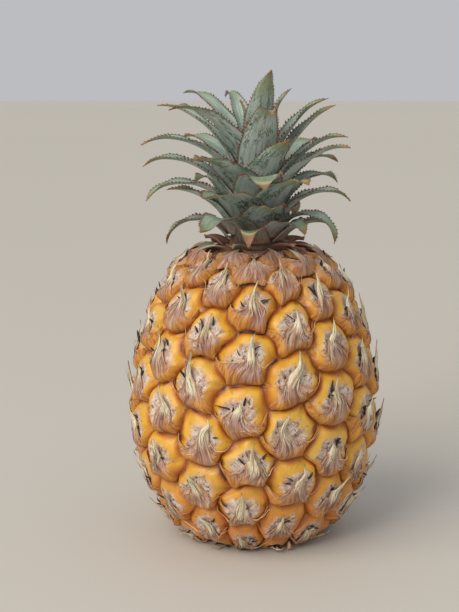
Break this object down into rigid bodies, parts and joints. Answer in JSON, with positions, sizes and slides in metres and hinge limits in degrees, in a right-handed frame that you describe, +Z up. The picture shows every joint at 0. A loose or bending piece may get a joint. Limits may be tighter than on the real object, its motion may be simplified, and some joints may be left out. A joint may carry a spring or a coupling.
{
  "type": "pineapple",
  "caption": "Small ripe pineapple standing on its base: a fruit of spiny-bracted eyes set in spirals, under a crown of toothed leaves.",
  "frame": {"origin": "centre of the cut stalk's flat face under the fruit, on the fruit's axis and on the surface that it stands on", "axes": "+Z up along the fruit's axis towards the crown's tip, -Y towards the front, +X to the right as seen from the front"},
  "size_m": [0.1082, 0.1085, 0.1939],
  "materials": {
    "fruit_skin": "smooth waxy rind, yellow-orange on the rims of the eyes and red-brown in the grooves, with dry fibrous pinkish-tan bracts over them",
    "crown_leaf": "leathery grey-green leaf with a chalky bloom, dark green where it is rubbed, yellow-green to red toothed margins and orange-brown dry tips",
    "collar_bract": "dry papery bract, pinkish brown fading to cream at its tip",
    "crown_stem": "pale fibrous stem"
  },
  "bodies": {
    "root": {"fruit": "fruit_skin", "crown_stem": "crown_stem", "crown_leaf_01": "crown_leaf", "crown_leaf_02": "crown_leaf", "crown_leaf_03": "crown_leaf", "crown_leaf_04": "crown_leaf", "crown_leaf_05": "crown_leaf", "crown_leaf_06": "crown_leaf", "crown_leaf_07": "crown_leaf", "crown_leaf_08": "crown_leaf", "crown_leaf_09": "crown_leaf", "crown_leaf_10": "crown_leaf", "crown_leaf_11": "crown_leaf", "crown_leaf_12": "crown_leaf", "crown_leaf_13": "crown_leaf", "crown_leaf_14": "crown_leaf", "crown_leaf_15": "crown_leaf", "crown_leaf_16": "crown_leaf", "crown_leaf_17": "crown_leaf", "crown_leaf_18": "crown_leaf", "crown_leaf_19": "crown_leaf", "crown_leaf_20": "crown_leaf", "crown_leaf_21": "crown_leaf", "crown_leaf_22": "crown_leaf", "crown_leaf_23": "crown_leaf", "crown_leaf_24": "crown_leaf", "crown_leaf_25": "crown_leaf", "crown_leaf_26": "crown_leaf", "crown_leaf_27": "crown_leaf", "crown_leaf_28": "crown_leaf", "crown_leaf_29": "crown_leaf", "crown_leaf_30": "crown_leaf", "crown_leaf_31": "crown_leaf", "crown_leaf_32": "crown_leaf", "crown_leaf_33": "crown_leaf", "crown_leaf_34": "crown_leaf", "crown_leaf_35": "crown_leaf", "crown_leaf_36": "crown_leaf", "crown_leaf_37": "crown_leaf", "crown_leaf_38": "crown_leaf", "crown_leaf_39": "crown_leaf", "crown_leaf_40": "crown_leaf", "crown_leaf_41": "crown_leaf", "crown_leaf_42": "crown_leaf", "collar_bract_01": "collar_bract", "collar_bract_02": "collar_bract", "collar_bract_03": "collar_bract", "collar_bract_04": "collar_bract", "collar_bract_05": "collar_bract", "collar_bract_06": "collar_bract", "collar_bract_07": "collar_bract", "collar_bract_08": "collar_bract", "collar_bract_09": "collar_bract", "collar_bract_10": "collar_bract"}
  },
  "joints": []
}
